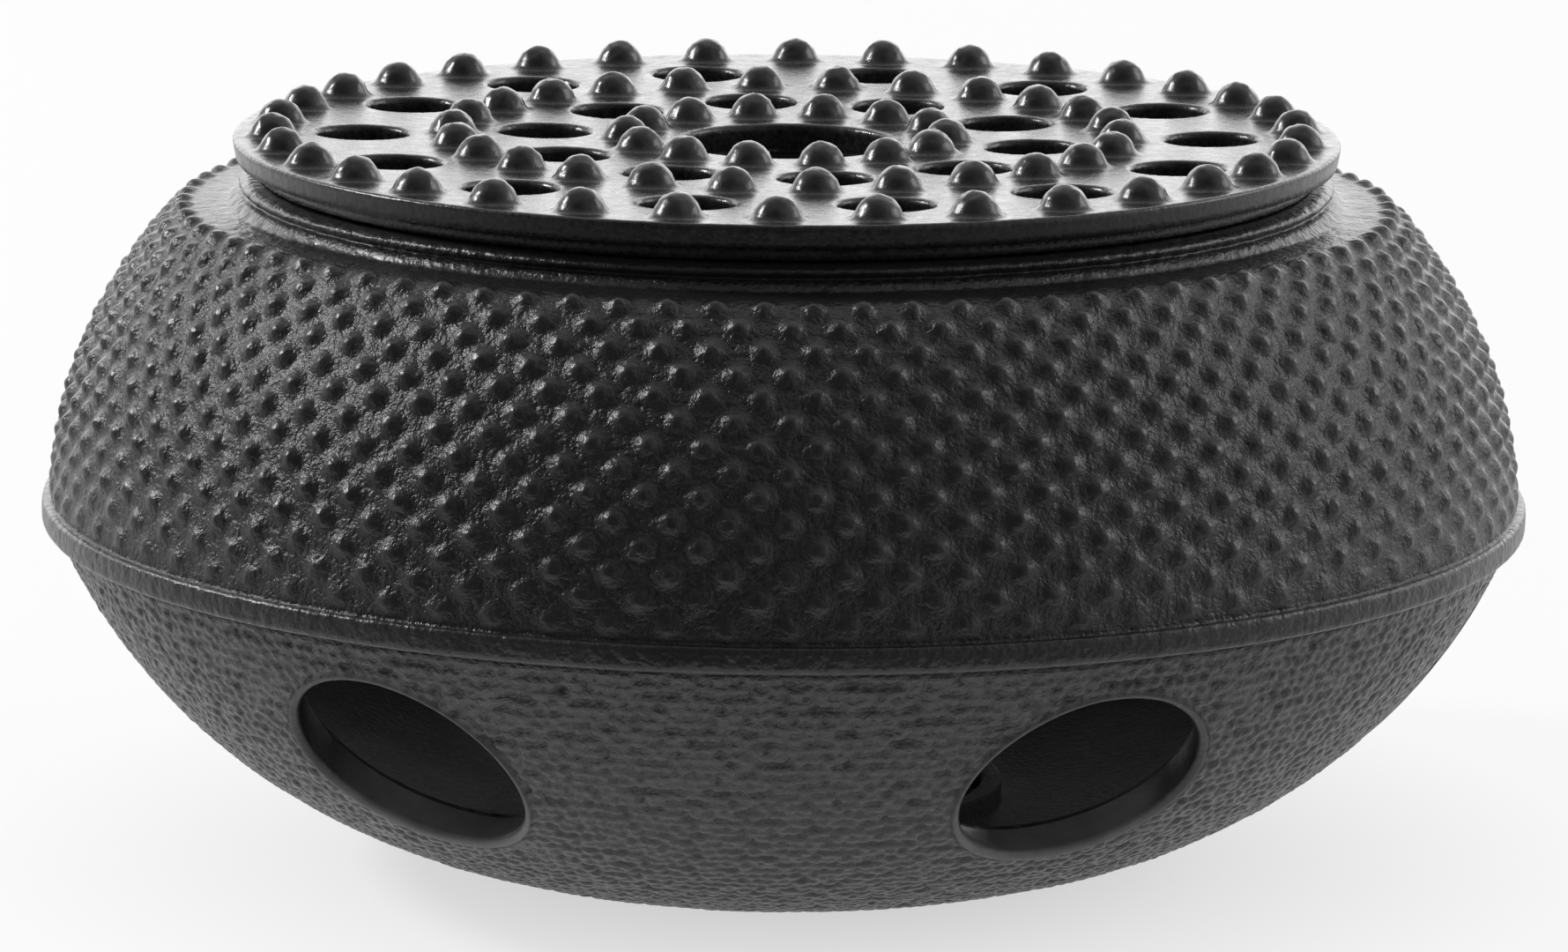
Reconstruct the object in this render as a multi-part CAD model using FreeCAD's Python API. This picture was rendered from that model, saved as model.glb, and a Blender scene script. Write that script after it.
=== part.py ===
import FreeCAD, Part
import math
import os

from FreeCAD import Vector

# Cast iron teapot warmer, in millimetres. +Z is up and the origin is the centre of the base.

# Body, outside
base_radius = 24.9
bowl_height = 33.3
bowl_top_radius = 71.6
bowl_bulge = 8.2
band_height = 2.5
band_radius = 72.8
band_round = 0.7
dome_bottom_radius = 71.9
dome_height = 28.8
dome_top_radius = 58.7
dome_bulge = 2.8
shoulder_drop = 1.6
shoulder_width = 2.0
shoulder_round = 0.45
shoulder_rise = 0.35
neck_radius = 53.4
neck_height = 2.15
neck_edge_round = 0.5

# Body, inside
wall = 4.2
neck_wall = 4.2
floor_radius = 26.0
candle_ring_width = 2.0
candle_ring_height = 2.5

# Air holes, with their angle from +X
air_hole_count = 6
air_hole_radius = 11.3
air_hole_height = 18.9
air_hole_first_angle = -63.7
air_hole_lip_round = 1.5

# Trivet plate, seated on the top of the neck
plate_overhang = 0.6
plate_edge_thickness = 3.8
plate_dish = 0.9
rebate_height = 1.5
rebate_depth = 2.4
edge_slant = 0.4
lip_clearance = 0.4
lip_width = 2.4
lip_depth = 3.0
centre_hole_radius = 10.65
plate_hole_radius = 4.5
bump_radius = 2.3
bump_lift = 0.1

# Rings on the plate: radius, count and the first angle from +X
outer_bump_inset = 4.0
outer_bump_count = 34
outer_bump_angle = 89.1
middle_bump_ring = 32.6
middle_bump_count = 26
middle_bump_angle = 108.7
inner_bump_ring = 15.6
inner_bump_count = 14
inner_bump_angle = 102.3
outer_hole_ring = 41.4
outer_hole_count = 14
outer_hole_angle = 102.9
inner_hole_ring = 24.1
inner_hole_count = 10
inner_hole_angle = 98.7

# Tealight
cup_radius = 19.2
cup_height = 15.5
cup_wall = 0.4
cup_rim_width = 0.5
cup_rim_height = 0.5
candle_clearance = 0.6
wax_clearance = 0.1
wax_top_gap = 2.0
wick_radius = 0.8
wick_above_wax = 7.0
wick_clearance = 0.1
sustainer_radius = 6.5
sustainer_thickness = 0.4
collar_height = 3.0
collar_wall = 0.5

# Heights and radii that follow from the sizes above
band_top = bowl_height + band_height
dome_top = band_top + dome_height
shoulder_top = dome_top + shoulder_rise
neck_top = shoulder_top + neck_height
neck_bore = neck_radius - neck_wall
plate_radius = neck_radius + plate_overhang
plate_top = neck_top + plate_edge_thickness


def line(start, end):
    return Part.makeLine(Vector(start[0], 0, start[1]), Vector(end[0], 0, end[1]))


def arc(start, middle, end):
    points = [Vector(r, 0, z) for r, z in (start, middle, end)]
    return Part.Arc(*points).toShape()


def arc_middle(start, end, bulge):
    """Middle point of the arc that swells outwards from the chord by bulge."""
    along_r = end[0] - start[0]
    along_z = end[1] - start[1]
    chord = math.hypot(along_r, along_z)
    out_r = abs(along_z) / chord
    out_z = -along_r / chord * math.copysign(1, along_z)
    return ((start[0] + end[0]) / 2 + bulge * out_r, (start[1] + end[1]) / 2 + bulge * out_z)


def arc_circle(start, end, bulge):
    """Centre and radius of that same arc."""
    half_chord = math.hypot(end[0] - start[0], end[1] - start[1]) / 2
    radius = (half_chord ** 2 + bulge ** 2) / (2 * bulge)
    middle = arc_middle(start, end, bulge)
    chord_middle = ((start[0] + end[0]) / 2, (start[1] + end[1]) / 2)
    back = radius / bulge
    centre_r = middle[0] + (chord_middle[0] - middle[0]) * back
    centre_z = middle[1] + (chord_middle[1] - middle[1]) * back
    return centre_r, centre_z, radius


def on_circle(circle, height):
    """Outer radius of a circle of the profile at a height."""
    centre_r, centre_z, radius = circle
    return centre_r + math.sqrt(radius ** 2 - (height - centre_z) ** 2)


def arc_on_circle(circle, low, high):
    """Stretch of a circle of the profile between two heights."""
    middle = (low + high) / 2
    points = [(on_circle(circle, height), height) for height in (low, middle, high)]
    return arc(*points)


def revolve(edges):
    face = Part.Face(Part.Wire(Part.__sortEdges__(edges)))
    return face.revolve(Vector(0, 0, 0), Vector(0, 0, 1), 360)


def outline(points):
    """Edges of a closed outline with straight sides."""
    return [line(start, end) for start, end in zip(points, points[1:] + points[:1])]


def ring(shape, count, first_angle):
    """Copies of a shape spaced evenly about the Z axis."""
    copies = []
    for index in range(count):
        copy = shape.copy()
        copy.rotate(Vector(0, 0, 0), Vector(0, 0, 1), first_angle + index * 360 / count)
        copies.append(copy)
    return copies


bowl_circle = arc_circle((base_radius, 0), (bowl_top_radius, bowl_height), bowl_bulge)
dome_circle = arc_circle((dome_bottom_radius, band_top), (dome_top_radius, dome_top), dome_bulge)
inner_bowl = (bowl_circle[0], bowl_circle[1], bowl_circle[2] - wall)
inner_dome = (dome_circle[0], dome_circle[1], dome_circle[2] - wall)
floor_top = inner_bowl[1] - math.sqrt(inner_bowl[2] ** 2 - (floor_radius - inner_bowl[0]) ** 2)


def rounded_corner(before, corner, after, size):
    """Points where a quarter round of this size starts, peaks and ends at a square corner."""
    start = (corner[0] + size * before[0], corner[1] + size * before[1])
    end = (corner[0] + size * after[0], corner[1] + size * after[1])
    sag = size * (1 - math.sqrt(0.5))
    middle = (corner[0] + sag * (before[0] + after[0]), corner[1] + sag * (before[1] + after[1]))
    return start, middle, end


def body_outside():
    """Outer edges of the body from the centre of the base to the inner edge of the neck."""
    band_low = rounded_corner((-1, 0), (band_radius, bowl_height), (0, 1), band_round)
    band_high = rounded_corner((0, -1), (band_radius, band_top), (-1, 0), band_round)
    dome_end = (on_circle(dome_circle, dome_top - shoulder_drop), dome_top - shoulder_drop)
    shoulder_start = (dome_top_radius - shoulder_width, dome_top)
    neck_edge = rounded_corner((0, -1), (neck_radius, neck_top), (-1, 0), neck_edge_round)
    bowl_middle = arc_middle((base_radius, 0), (bowl_top_radius, bowl_height), bowl_bulge)
    return [
        line((0, 0), (base_radius, 0)),
        arc((base_radius, 0), bowl_middle, (bowl_top_radius, bowl_height)),
        line((bowl_top_radius, bowl_height), band_low[0]),
        arc(*band_low),
        line(band_low[2], band_high[0]),
        arc(*band_high),
        line(band_high[2], (dome_bottom_radius, band_top)),
        arc_on_circle(dome_circle, band_top, dome_end[1]),
        arc(dome_end, arc_middle(dome_end, shoulder_start, shoulder_round), shoulder_start),
        line(shoulder_start, (neck_radius, shoulder_top)),
        line((neck_radius, shoulder_top), neck_edge[0]),
        arc(*neck_edge),
        line(neck_edge[2], (neck_bore, neck_top)),
    ]


def body_inside():
    """Inner edges of the body from the inner edge of the neck to the centre of the floor."""
    ceiling = shoulder_top - wall
    dome_foot = (on_circle(inner_dome, band_top), band_top)
    bowl_brim = (on_circle(inner_bowl, bowl_height), bowl_height)
    ring_inner = cup_radius + candle_clearance
    ring_outer = ring_inner + candle_ring_width
    ring_top = floor_top + candle_ring_height
    return [
        line((neck_bore, neck_top), (neck_bore, ceiling)),
        line((neck_bore, ceiling), (on_circle(inner_dome, ceiling), ceiling)),
        arc_on_circle(inner_dome, band_top, ceiling),
        line(dome_foot, bowl_brim),
        arc_on_circle(inner_bowl, floor_top, bowl_height),
        line((floor_radius, floor_top), (ring_outer, floor_top)),
        line((ring_outer, floor_top), (ring_outer, ring_top)),
        line((ring_outer, ring_top), (ring_inner, ring_top)),
        line((ring_inner, ring_top), (ring_inner, floor_top)),
        line((ring_inner, floor_top), (0, floor_top)),
        line((0, floor_top), (0, 0)),
    ]


def air_hole_axis():
    """Point on the bowl at the middle of an air hole, and the way out square to the bowl."""
    centre = Vector(bowl_circle[0], 0, bowl_circle[1])
    mouth = Vector(on_circle(bowl_circle, air_hole_height), 0, air_hole_height)
    outwards = (mouth - centre).normalize()
    return mouth, outwards


def air_hole_lips(body):
    """Edges where the air holes break through the outside of the bowl."""
    lips = []
    for edge in body.Edges:
        point = edge.valueAt((edge.FirstParameter + edge.LastParameter) / 2)
        in_bowl = 0 < point.z < bowl_height
        drilled = isinstance(edge.Curve, Part.BSplineCurve)
        if in_bowl and drilled:
            depth = on_circle(bowl_circle, point.z) - math.hypot(point.x, point.y)
            if depth < wall / 4:
                lips.append(edge)
    return lips


def make_body():
    """Body with its seam turned to lie between two air holes."""
    body = revolve(body_outside() + body_inside())
    mouth, outwards = air_hole_axis()
    drill_reach = air_hole_radius + wall
    drill_start = mouth - outwards * drill_reach
    drill = Part.makeCylinder(air_hole_radius, 2 * drill_reach, drill_start, outwards)
    half_pitch = 180 / air_hole_count
    body = body.cut(ring(drill, air_hole_count, half_pitch)).Solids[0]
    body = body.makeFillet(air_hole_lip_round, air_hole_lips(body))
    body.rotate(Vector(0, 0, 0), Vector(0, 0, 1), air_hole_first_angle - half_pitch)
    return body


def plate_height_at(radius):
    """Height of the dished top of the plate at a radius."""
    return plate_top - plate_dish * (1 - radius / plate_radius)


def plate_disc():
    """Dished disc with a rebated edge, and a lip under it that drops into the neck."""
    rebate_top = neck_top + rebate_height
    seat_radius = plate_radius - rebate_depth
    lip_radius = neck_bore - lip_clearance
    lip_bottom = neck_top - lip_depth
    return revolve(outline([
        (centre_hole_radius, neck_top),
        (lip_radius - lip_width, neck_top),
        (lip_radius - lip_width, lip_bottom),
        (lip_radius, lip_bottom),
        (lip_radius, neck_top),
        (seat_radius, neck_top),
        (seat_radius, rebate_top),
        (plate_radius - edge_slant, rebate_top),
        (plate_radius, plate_top),
        (centre_hole_radius, plate_height_at(centre_hole_radius)),
    ]))


def hole_ring(radius, count, first_angle):
    reach = plate_edge_thickness + lip_depth
    drill = Part.makeCylinder(plate_hole_radius, 2 * reach, Vector(radius, 0, neck_top - reach))
    return ring(drill, count, first_angle)


def bump_ring(radius, count, first_angle):
    bump = Part.makeSphere(bump_radius, Vector(radius, 0, plate_height_at(radius) + bump_lift))
    return ring(bump, count, first_angle)


def make_plate():
    holes = hole_ring(outer_hole_ring, outer_hole_count, outer_hole_angle)
    holes += hole_ring(inner_hole_ring, inner_hole_count, inner_hole_angle)
    bumps = bump_ring(plate_radius - outer_bump_inset, outer_bump_count, outer_bump_angle)
    bumps += bump_ring(middle_bump_ring, middle_bump_count, middle_bump_angle)
    bumps += bump_ring(inner_bump_ring, inner_bump_count, inner_bump_angle)
    return plate_disc().cut(holes).fuse(bumps)


def make_cup():
    bottom = floor_top
    top = bottom + cup_height
    inner = cup_radius - cup_rim_width - cup_wall
    return revolve(outline([
        (0, bottom),
        (cup_radius - cup_rim_width, bottom),
        (cup_radius - cup_rim_width, top - cup_rim_height),
        (cup_radius, top - cup_rim_height),
        (cup_radius, top),
        (inner, top),
        (inner, bottom + cup_wall),
        (0, bottom + cup_wall),
    ]))


wax_bottom = floor_top + cup_wall
wax_top = floor_top + cup_height - wax_top_gap
collar_radius = wick_radius + wick_clearance + collar_wall
sustainer_top = wax_bottom + sustainer_thickness
collar_top = sustainer_top + collar_height


def make_wax():
    """Wax with a hollow for the sustainer and the wick, clear of both and of the cup's side."""
    outside = cup_radius - cup_rim_width - cup_wall - wax_clearance
    disc = sustainer_radius + wax_clearance
    collar = collar_radius + wax_clearance
    bore = wick_radius + wick_clearance
    return revolve(outline([
        (disc, wax_bottom),
        (outside, wax_bottom),
        (outside, wax_top),
        (bore, wax_top),
        (bore, collar_top),
        (collar, collar_top),
        (collar, sustainer_top),
        (disc, sustainer_top),
    ]))


def make_sustainer():
    bore = wick_radius + wick_clearance
    return revolve(outline([
        (0, wax_bottom),
        (sustainer_radius, wax_bottom),
        (sustainer_radius, sustainer_top),
        (collar_radius, sustainer_top),
        (collar_radius, collar_top),
        (bore, collar_top),
        (bore, sustainer_top),
        (0, sustainer_top),
    ]))


def make_wick():
    length = wax_top + wick_above_wax - sustainer_top
    return Part.makeCylinder(wick_radius, length, Vector(0, 0, sustainer_top))


pieces = {
    "warmer_body": make_body(),
    "trivet_plate": make_plate(),
    "tealight_cup": make_cup(),
    "tealight_wax": make_wax(),
    "wick_sustainer": make_sustainer(),
    "tealight_wick": make_wick(),
}

os.makedirs("parts", exist_ok=True)
for name, shape in pieces.items():
    solid = shape.Solids[0]
    print(name, "solids", len(shape.Solids), "valid", solid.isValid(), "volume", round(solid.Volume))
    solid.exportStep("parts/" + name + ".step")
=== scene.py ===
import math

import bpy
import numpy as np
from mathutils import Matrix, Vector


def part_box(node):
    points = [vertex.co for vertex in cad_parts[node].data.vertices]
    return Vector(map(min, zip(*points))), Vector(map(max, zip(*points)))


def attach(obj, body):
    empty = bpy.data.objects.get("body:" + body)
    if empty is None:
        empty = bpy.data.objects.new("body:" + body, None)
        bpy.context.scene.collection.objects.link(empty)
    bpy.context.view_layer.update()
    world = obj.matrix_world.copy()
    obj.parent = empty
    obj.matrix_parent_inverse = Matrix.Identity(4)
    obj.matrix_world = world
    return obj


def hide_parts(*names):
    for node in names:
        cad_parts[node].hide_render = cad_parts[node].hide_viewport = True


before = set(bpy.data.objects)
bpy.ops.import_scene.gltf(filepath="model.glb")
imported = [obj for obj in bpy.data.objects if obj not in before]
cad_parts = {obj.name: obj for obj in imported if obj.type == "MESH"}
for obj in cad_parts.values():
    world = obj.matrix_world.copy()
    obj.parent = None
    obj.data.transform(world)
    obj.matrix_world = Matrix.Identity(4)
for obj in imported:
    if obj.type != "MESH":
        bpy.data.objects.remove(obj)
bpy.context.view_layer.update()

# Cast iron teapot warmer. Sizes are in millimetres and become metres when a mesh is made.
MM = 0.001
FRONT = -math.pi / 2

# Base, bowl and band of the body
base_middle = 14
base_radius = 24.9
base_edge = 0.4
base_round = 0.8
bowl_foot_width = 2
bowl_foot_height = 1.2
bowl_height = 33.3
bowl_top_radius = 71.6
bowl_bulge = 8.2
band_radius = 72.8
band_height = 2.5
band_round = 0.7

# Dome and shoulder
dome_bottom_radius = 71.9
dome_height = 28.8
dome_top_radius = 58.7
dome_bulge = 2.8
shoulder_drop = 1.6
shoulder_width = 2.0
shoulder_round = 0.45
shoulder_blend = 0.3

# Neck: rises are above the top of the dome, and drops are below the top of the neck
neck_foot_radius = 54.3
neck_foot_rise = 0.1
neck_rim_radius = 53.7
neck_rim_rise = 0.85
neck_groove_radius = 52.9
neck_groove_rise = 1.05
neck_groove_drop = 1.2
neck_radius = 53.4
neck_bead_foot_drop = 0.9
neck_bead_drop = 0.7
neck_bead_top_drop = 0.5
neck_chamfer = 0.9
neck_round = 0.35
neck_top = 67.1

# Inside of the body
wall = 4.2
neck_bore = 49.2
bore_seam_top = 2
bore_seam_bottom = 3
ceiling_rise = 0.35
ceiling_round = 0.8
floor_radius = 26.0
floor_middle = 2
floor_round = 0.4
ring_inner = 19.8
ring_outer = 21.8
ring_height = 2.5

# Air holes. The lower side of a lip, where the sine of the angle round its hole is low, is painted pale as
# painted light.
hole_count = 6
hole_height = 18.9
hole_radius = 11.7
hole_first_angle = math.radians(-63.7)
lip_round = 0.8
lip_depth = 0.9
lip_painted_light_from = -0.1
lip_painted_light_full = -0.85
bore_flare = 1.6
bore_flare_share = 0.85
bore_stop = 0.3

# Hobnails on the dome, in staggered rows, lower near the band
hobnail_count = 83
hobnail_rows = 14
hobnail_row_pitch = 2.33
hobnail_first_row = 1.54
hobnail_angle = FRONT + math.radians(-1.8)
hobnail_radius = 1.55
hobnail_height = 0.7
hobnail_low_share = 0.5
hobnail_full_from = 12
hobnail_point = 1.9
hobnail_spread = 0.05
hobnail_seed = 5

# Pebbled skin of the bowl, and how far it takes to fade in from the air holes, the base and the band
pebble_size = 1.4
pebble_scatter = 0.5
pebble_height = 0.6
pebble_seed = 91
hole_fade = (-0.1, 0.5)
base_fade = (0.3, 2.5)
band_fade = 0.8

# Swells of each casting, as height, size and seed, and how far each surface is set back for them
bowl_swells = [(0.06, 2.2, 3), (0.04, 5.0, 4)]
bowl_sink = 0.1
band_swells = [(0.04, 4.5, 21), (0.02, 1.4, 22)]
band_sink = 0.08
dome_swells = [(0.05, 1.1, 31), (0.03, 0.55, 32)]
dome_sink = 0.05
neck_swells = [(0.07, 1.3, 41), (0.07, 0.6, 42)]
neck_sink = 0.07
lip_swells = [(0.05, 2.4, 51)]
plate_swells = [(0.7, 1.0, 61), (0.8, 0.5, 62)]
plate_sink = 1.5

# How whole the enamel is, from 0 where grainy to 1 where smooth
band_smoothness = 0.85
shoulder_smoothness = 0.35
neck_smoothness = 0.9
rim_wear_width = 0.25
bead_wear_width = 0.3
bead_wear = 0.6

# Trivet plate
plate_radius = 54.0
plate_edge = 70.9
plate_dish = 0.9
plate_slant = 0.4
rebate_height = 1.5
seat_radius = 51.6
lip_middle = 47.6
lip_half_width = 1.2
lip_bottom = 64.1
plate_soft = 0.5
centre_hole_radius = 10.65
plate_hole_radius = 4.5
bump_radius = 2.3
bump_lift = 0.1
bump_fillet = 0.85
bump_foot = 0.1
bump_full = 1.6
plate_lumpiness = 0.008
bump_lumpiness = 0.085
# Radius, count and first angle of each ring
hole_rings = [(41.4, 14, 102.9), (24.1, 10, 98.7)]
bump_rings = [(50.0, 34, 89.1), (32.6, 26, 108.7), (15.6, 14, 102.3)]

# Tealight
cup_rim = 0.5
cup_sheet = 0.4
cup_step = 0.25
cup_corner = 0.7
cup_crease_count = 60
cup_crease_depth = 0.0022
wax_hole = 1.4
wax_sink = 0.55
wax_dimple = 0.16
wick_twist = 4.5
wick_taper = 0.35
strand_depth = 0.26
fibre_depth = 0.03
collar_radius = 1.4
collar_bore = 0.9
sustainer_sheet = 0.4

# How finely the castings are divided
columns = 12 * hobnail_count
inner_columns = columns // 3
bowl_rows = 190
inner_bowl_rows = 44
dome_rows = 104
shoulder_rows = 14
inner_dome_rows = 26
lip_rows = 8
plate_voxel = 0.4

# How the grid of the bowl bends round an air hole: the block that opens, as a share of the hole, how
# fast the circles round it grow, and how far the bend reaches outside and inside
hole_block = 0.82
hole_easing = 0.75
bowl_reach = 1.58
inner_reach = 1.25
settle_rounds = 20

# Studio: the floor's whiteness near and far from the middle, in metres, and the flag, in degrees
surroundings_light = 0.35
floor_half = 6.0
floor_near, floor_far = 0.03, 0.08
floor_near_white, floor_far_white = 0.62, 0.88
light_target = Vector((0, 0, 0.04))
flag_distance = 1600
flag_tilt = math.radians(20)
flag_turn = math.radians(-25)
flag_cover_most = 0.93
flag_full_within = 15
flag_edge = 130
floor_flag_turn = FRONT + math.radians(20)
floor_flag_radii = (112, 165, 500, 1500)
floor_flag_strengths = (0, 1, 1, 1)
floor_flag_height = 1

bowl_foot_radius = base_radius + bowl_foot_width
band_top = bowl_height + band_height
dome_top = band_top + dome_height
rim_radius = hole_radius + lip_round


def arc_circle(start, end, bulge):
    """Centre and radius of the arc that swells outwards from its chord by bulge."""
    start, end = np.array(start), np.array(end)
    chord = np.linalg.norm(end - start)
    radius = (chord ** 2 / 4 + bulge ** 2) / (2 * bulge)
    outwards = np.array([end[1] - start[1], start[0] - end[0]]) / chord
    centre = (start + end) / 2 + outwards * (bulge - radius)
    return centre[0], centre[1], radius


def circle_points(circle, start, end, count):
    """Evenly spaced points of a circle of the profile from one point to another."""
    centre = np.array(circle[:2])
    first, last = [math.atan2(p[1] - circle[1], p[0] - circle[0]) for p in (start, end)]
    angles = np.linspace(first, last, count)
    return centre + circle[2] * np.stack([np.cos(angles), np.sin(angles)], -1)


def on_circle(circle, height):
    """Radius of the outer side of a circle of the profile at a height."""
    return circle[0] + math.sqrt(circle[2] ** 2 - (height - circle[1]) ** 2)


def under_circle(circle, radius):
    """Height of the lower side of a circle of the profile at a radius."""
    return circle[1] - math.sqrt(circle[2] ** 2 - (radius - circle[0]) ** 2)


def soften(points, size, steps=4):
    """Outline with each inner corner swapped for a small curve."""
    points = np.array(points, float)
    soft = [points[0]]
    for before, corner, after in zip(points, points[1:], points[2:]):
        inward, onward = before - corner, after - corner
        start = corner + inward * min(size / np.linalg.norm(inward), 0.45)
        end = corner + onward * min(size / np.linalg.norm(onward), 0.45)
        for t in np.linspace(0, 1, steps):
            soft.append((1 - t) ** 2 * start + 2 * t * (1 - t) * corner + t ** 2 * end)
    soft.append(points[-1])
    return np.array(soft)


def lattice(keys, seed):
    """Repeatable random numbers from 0 to 1 for whole-number places, three for each."""
    table_size = 8191
    table = np.random.default_rng(seed).random((table_size, 3))
    mixed = keys[:, 0] * 73856093 ^ keys[:, 1] * 19349663 ^ keys[:, 2] * 83492791
    return table[mixed % table_size]


def unevenness(points, size, seed):
    """Soft swells from -1 to 1, about one size across."""
    places = points / size
    corner = np.floor(places).astype(np.int64)
    part = places - corner
    part = part * part * (3 - 2 * part)
    total = np.zeros(len(points))
    for offset in np.ndindex(2, 2, 2):
        weight = np.prod(np.where(offset, part, 1 - part), axis=1)
        total += weight * (2 * lattice(corner + offset, seed)[:, 0] - 1)
    return total


def cast_lumps(points, swells):
    """Lumpiness of a casting at a grid of points, as the sum of its swells."""
    flat = points.reshape(-1, 3)
    lumps = sum(height * unevenness(flat, size, seed) for height, size, seed in swells)
    return lumps.reshape(points.shape[:-1])


def smooth_step(low, high, value):
    """Soft rise from 0 to 1 as a value goes from low to high."""
    share = np.clip((value - low) / (high - low), 0, 1)
    return share * share * (3 - 2 * share)


class Skin:
    """Points and faces of one mesh while it is put together."""

    def __init__(self):
        self.points = []
        self.faces = []
        self.relief = []
        self.count = 0

    def add(self, points, relief=0.0):
        """Adds a grid of points with their relief, and gives the grid of their numbers."""
        points = np.asarray(points, float)
        shape = points.shape[:-1]
        flat = points.reshape(-1, 3)
        self.points.append(flat)
        self.relief.append(np.broadcast_to(relief, shape).reshape(-1))
        first = self.count
        self.count += len(flat)
        return np.arange(first, self.count).reshape(shape)

    def join(self, rings, kept=None):
        """Quads between closed rings, one ring a row."""
        beside = np.roll(rings, -1, axis=1)
        quads = np.stack([rings[:-1], beside[:-1], beside[1:], rings[1:]], -1)
        quads = quads.reshape(-1, 4) if kept is None else quads[kept]
        self.faces += quads.tolist()

    def stitch(self, first, second, first_turn, second_turn):
        """Triangles between two closed rings that have different counts of points."""
        a, b = 0, 0
        while a < len(first) or b < len(second):
            next_a = first_turn[a + 1] if a < len(first) else math.inf
            next_b = second_turn[b + 1] if b < len(second) else math.inf
            here_a, here_b = first[a % len(first)], second[b % len(second)]
            if next_a <= next_b:
                self.faces.append([here_a, first[(a + 1) % len(first)], here_b])
                a += 1
            else:
                self.faces.append([here_a, second[(b + 1) % len(second)], here_b])
                b += 1

    def cap(self, ring, centre, facing_in):
        """Triangles from a closed ring to a new point in its middle."""
        middle = self.add(np.array([centre]))[0]
        for here, beside in zip(ring, np.roll(ring, -1)):
            self.faces.append([here, beside, middle] if facing_in else [middle, beside, here])

    def mesh(self, name):
        mesh = bpy.data.meshes.new(name)
        points = np.concatenate(self.points) * MM
        mesh.from_pydata(points.tolist(), [], self.faces)
        relief = mesh.attributes.new("relief", "FLOAT", "POINT")
        relief.data.foreach_set("value", np.concatenate(self.relief).astype(np.float32))
        mesh.shade_smooth()
        mesh.update()
        return mesh


def spin(profile, turns):
    """Points of a profile of (radius, height) carried round the Z axis, one ring a row."""
    profile = np.asarray(profile)
    radius, height = profile[:, :1], profile[:, 1:2]
    flat = [radius * np.cos(turns), radius * np.sin(turns), height + 0 * turns]
    return np.stack(flat, -1)


def turns_of(count):
    """Angles of the body's columns, which start at the middle of the first air hole."""
    return hole_first_angle + np.arange(count) * 2 * math.pi / count


bowl_circle = arc_circle((base_radius, 0), (bowl_top_radius, bowl_height), bowl_bulge)
dome_circle = arc_circle((dome_bottom_radius, band_top), (dome_top_radius, dome_top), dome_bulge)
inner_bowl = (bowl_circle[0], bowl_circle[1], bowl_circle[2] - wall)
inner_dome = (dome_circle[0], dome_circle[1], dome_circle[2] - wall)
floor_top = under_circle(inner_bowl, floor_radius)


def circle_normals(points, circle):
    """Ways out of a ring-shaped surface with this circle as its section."""
    around = np.hypot(points[..., 0], points[..., 1])
    out = (around - circle[0]) / around
    normals = [points[..., 0] * out, points[..., 1] * out, points[..., 2] - circle[1]]
    return np.stack(normals, -1) / circle[2]


def profile_normals(profile):
    """Ways out of a turned surface, as (radius, height), along its profile."""
    way = np.gradient(profile, axis=0)
    way /= np.linalg.norm(way, axis=1)[:, None]
    return np.stack([way[:, 1], -way[:, 0]], -1)


def raise_skin(points, normals, height):
    return points + normals * height[..., None]


def hole_axes(index):
    """Mouth of an air hole on the bowl, and the ways across, up and out of it."""
    turn = hole_first_angle + index * 2 * math.pi / hole_count
    dip = math.asin((bowl_circle[1] - hole_height) / bowl_circle[2])
    ahead = np.array([math.cos(turn), math.sin(turn), 0])
    across = np.array([-math.sin(turn), math.cos(turn), 0])
    up = ahead * math.sin(dip) + np.array([0, 0, math.cos(dip)])
    out = ahead * math.cos(dip) - np.array([0, 0, math.sin(dip)])
    mouth = ahead * on_circle(bowl_circle, hole_height) + np.array([0, 0, hole_height])
    return mouth, across, up, out


def settle(points, out, circle):
    """Slides points along an air hole until they lie on a bowl surface."""
    for _ in range(settle_rounds):
        around = np.hypot(points[..., 0], points[..., 1])
        gap = np.hypot(around - circle[0], points[..., 2] - circle[1]) - circle[2]
        points = points - gap[..., None] * out
    return points


def square_to_circle(p, q):
    """Size of the square on which each place of a block lies, and its angle on the matching circle."""
    size = np.maximum(abs(p), abs(q))
    sideways = abs(p) >= abs(q)
    share = np.where(sideways, q, p) / np.maximum(size, 1e-9)
    eighth = share * math.pi / 4
    beside = np.where(p < 0, math.pi - eighth, eighth)
    over = np.where(q < 0, -math.pi / 2 + eighth, math.pi / 2 - eighth)
    return size, np.where(sideways, beside, over)


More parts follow.
